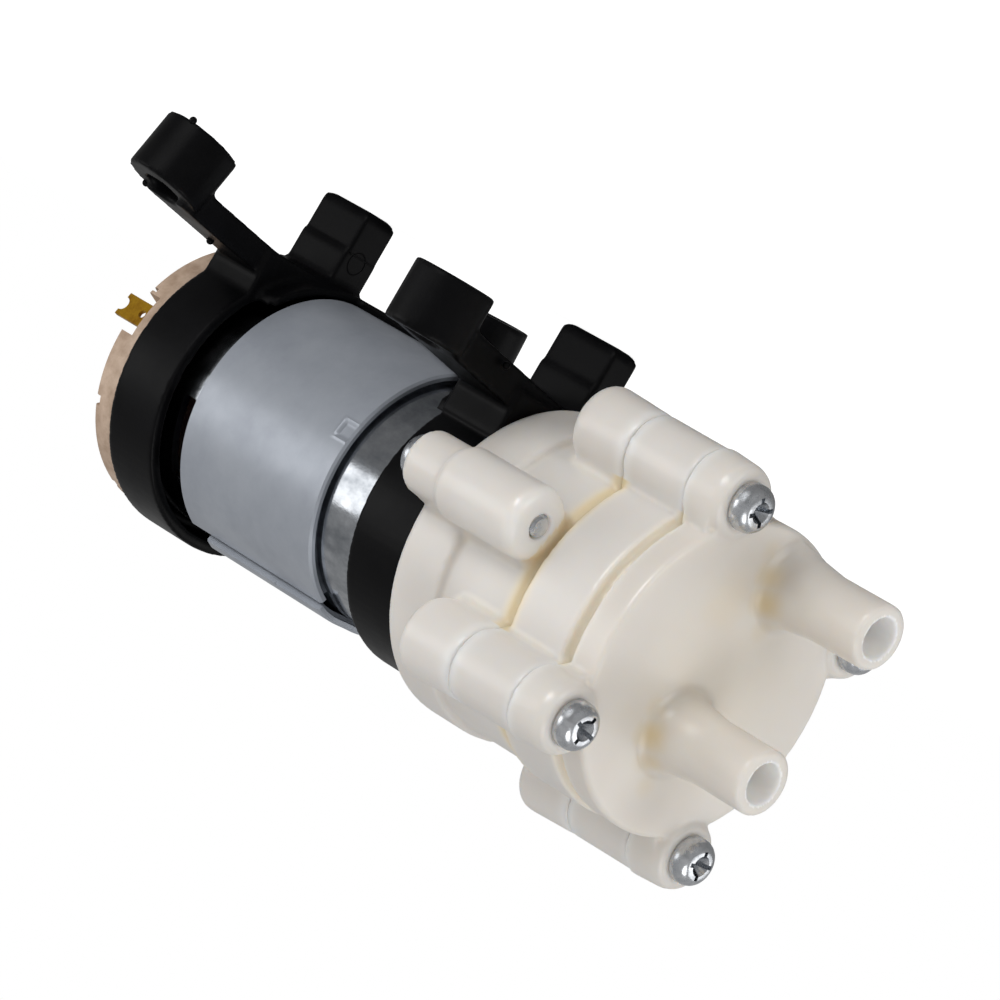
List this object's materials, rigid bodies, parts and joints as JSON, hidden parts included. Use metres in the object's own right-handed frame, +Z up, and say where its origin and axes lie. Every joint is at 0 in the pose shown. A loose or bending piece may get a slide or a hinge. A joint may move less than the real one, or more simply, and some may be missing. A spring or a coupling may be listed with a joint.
{
  "type": "diaphragm pump",
  "caption": "Small direct-current diaphragm water pump: motor in a black clip-on bracket, ivory wobble-plate head with two hose nozzles",
  "frame": {"origin": "middle of the footprint, on the plane that the bracket's two locating tabs stand on", "axes": "X along the motor axis towards the nozzles, Y across the bracket, Z up from the locating tabs"},
  "size_m": [0.101, 0.064, 0.0457],
  "materials": {
    "steel_can": "bright zinc-plated drawn sheet",
    "flux_steel": "satin blue-grey zinc-plated sheet",
    "cap_plastic": "mottled beige moulding",
    "brass_sheet": "stamped, lightly tarnished",
    "carbon": "pressed carbon",
    "ferrite": "sintered ferrite",
    "sintered_bronze": "oil-filled sintered bush",
    "ground_steel": "ground",
    "laminations": "stacked sheet, varnished",
    "copper_wire": "enamelled copper wire",
    "commutator_copper": "turned copper",
    "phenolic": "moulded phenolic",
    "black_plastic": "satin glass-filled moulding",
    "ivory_plastic": "natural translucent polyamide, satin",
    "white_plastic": "white acetal, satin",
    "zinc_screw": "bright zinc-plated",
    "black_rubber": "moulded rubber",
    "valve_rubber": "clear silicone rubber"
  },
  "bodies": {
    "housing": {"motor_can": "steel_can", "flux_ring": "flux_steel", "end_cap": "cap_plastic", "terminals": "brass_sheet", "brush_arms": "brass_sheet", "brushes": "carbon", "magnets": "ferrite", "rear_bearing": "sintered_bronze", "front_bearing": "sintered_bronze", "bracket": "black_plastic", "pump_base": "ivory_plastic", "motor_screws": "zinc_screw", "ear_screws": "zinc_screw", "pivot_ball": "ground_steel", "diaphragm_holder": "ivory_plastic", "diaphragm": "black_rubber", "valve_plate": "white_plastic", "cover_gasket": "black_rubber", "front_cover": "ivory_plastic", "cover_screws": "zinc_screw"},
    "rotor": {"motor_shaft": "ground_steel", "armature_core": "laminations", "windings": "copper_wire", "commutator_hub": "phenolic", "commutator_bars": "commutator_copper", "thrust_washers": "white_plastic", "eccentric_hub": "white_plastic"},
    "wobbler": {"wobble_plate": "white_plastic", "drive_pin": "ground_steel"},
    "inlet_lip_1": {"inlet_valve_1": "valve_rubber"},
    "inlet_lip_2": {"inlet_valve_2": "valve_rubber"},
    "inlet_lip_3": {"inlet_valve_3": "valve_rubber"},
    "outlet_lip": {"outlet_valve": "valve_rubber"}
  },
  "joints": [
    {"name": "shaft_spin", "type": "hinge", "parent": "housing", "child": "rotor", "pos_m": [0.00962, 0, 0.0245], "axis": [1, 0, 0], "continuous": true},
    {"name": "plate_nutation", "type": "hinge", "parent": "rotor", "child": "wobbler", "pos_m": [0.02392, 0, 0.0245], "axis": [0.9962, 0.0872, 0], "continuous": true},
    {"name": "inlet_lift_1", "type": "slide", "parent": "housing", "child": "inlet_lip_1", "axis": [-1, 0, 0], "range_m": [0, 0.0003]},
    {"name": "inlet_lift_2", "type": "slide", "parent": "housing", "child": "inlet_lip_2", "axis": [-1, 0, 0], "range_m": [0, 0.0003]},
    {"name": "inlet_lift_3", "type": "slide", "parent": "housing", "child": "inlet_lip_3", "axis": [-1, 0, 0], "range_m": [0, 0.0003]},
    {"name": "outlet_lift", "type": "slide", "parent": "housing", "child": "outlet_lip", "axis": [1, 0, 0], "range_m": [0, 0.0003]}
  ],
  "couplings": [
    {"joint": "plate_nutation", "follows": "shaft_spin", "ratio": -1}
  ]
}
